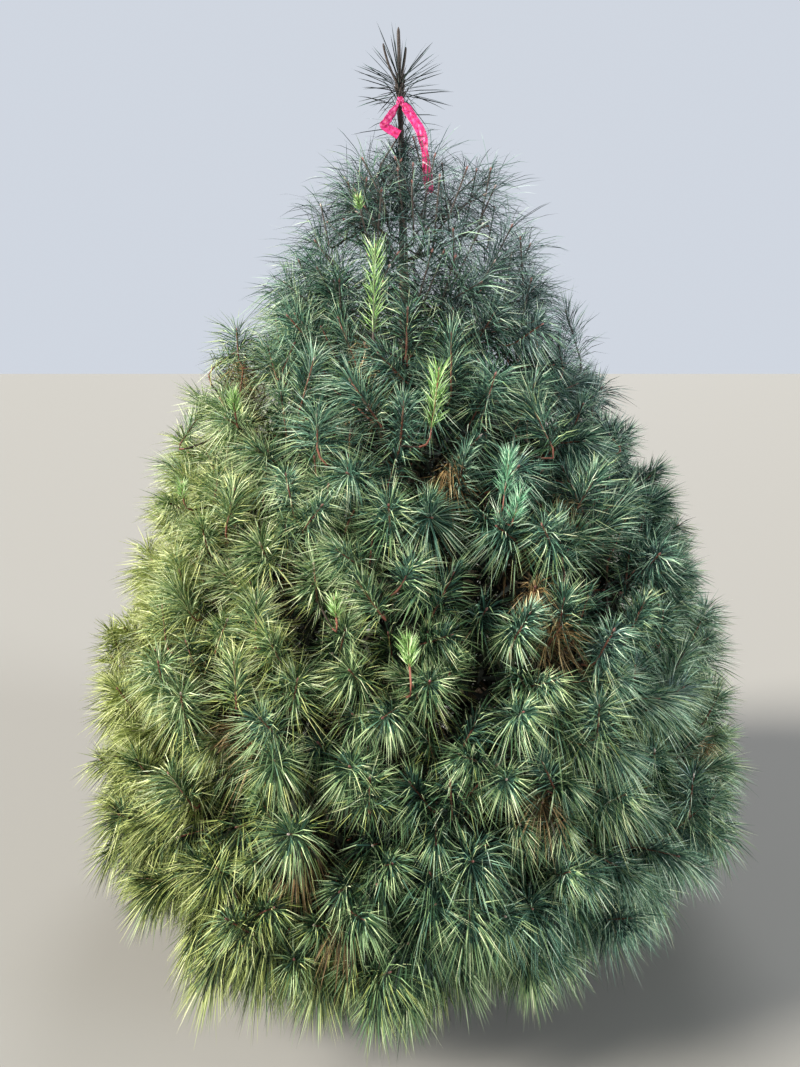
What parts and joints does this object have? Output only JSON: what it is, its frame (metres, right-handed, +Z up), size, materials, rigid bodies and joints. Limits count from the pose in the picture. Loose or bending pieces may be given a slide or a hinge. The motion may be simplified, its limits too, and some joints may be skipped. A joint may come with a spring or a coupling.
{
  "type": "sheared plantation pine tree",
  "caption": "Young field-grown pine sheared to a full cone: tapering trunk with a root flare, boughs in whorls, masses of long soft needles, and a bare leader.",
  "frame": {"origin": "middle of the flat cut under the trunk, at ground level", "axes": "+Z up along the trunk, +X to the right and -Y towards the viewer in the reference view"},
  "size_m": [1.9991, 1.9528, 2.4851],
  "materials": {
    "bark": "rough grey-brown bark",
    "needles": "soft long green needles, slightly waxy"
  },
  "bodies": {
    "root": {"trunk": "bark", "left_leader_shoot": "bark", "right_leader_shoot": "bark", "skirt_bough_1": "bark", "skirt_bough_2": "bark", "skirt_bough_3": "bark", "skirt_bough_4": "bark", "skirt_bough_5": "bark", "skirt_bough_6": "bark", "skirt_bough_7": "bark", "low_bough_1": "bark", "low_bough_2": "bark", "low_bough_3": "bark", "low_bough_4": "bark", "low_bough_5": "bark", "low_bough_6": "bark", "low_bough_7": "bark", "middle_bough_1": "bark", "middle_bough_2": "bark", "middle_bough_3": "bark", "middle_bough_4": "bark", "middle_bough_5": "bark", "middle_bough_6": "bark", "skirt_needles_1": "needles", "skirt_needles_2": "needles", "skirt_needles_3": "needles", "skirt_needles_4": "needles", "skirt_needles_5": "needles", "skirt_needles_6": "needles", "skirt_needles_7": "needles", "low_needles_1": "needles", "low_needles_2": "needles", "low_needles_3": "needles", "low_needles_4": "needles", "low_needles_5": "needles", "low_needles_6": "needles", "low_needles_7": "needles", "middle_needles_1": "needles", "middle_needles_2": "needles", "middle_needles_3": "needles", "middle_needles_4": "needles", "middle_needles_5": "needles", "middle_needles_6": "needles", "upper_needles_1": "needles", "upper_needles_2": "needles", "upper_needles_3": "needles", "upper_needles_4": "needles", "upper_needles_5": "needles", "high_needles_1": "needles", "high_needles_2": "needles", "high_needles_3": "needles", "high_needles_4": "needles", "top_needles_1": "needles", "top_needles_2": "needles", "top_needles_3": "needles", "leader_needles": "needles"}
  },
  "joints": []
}
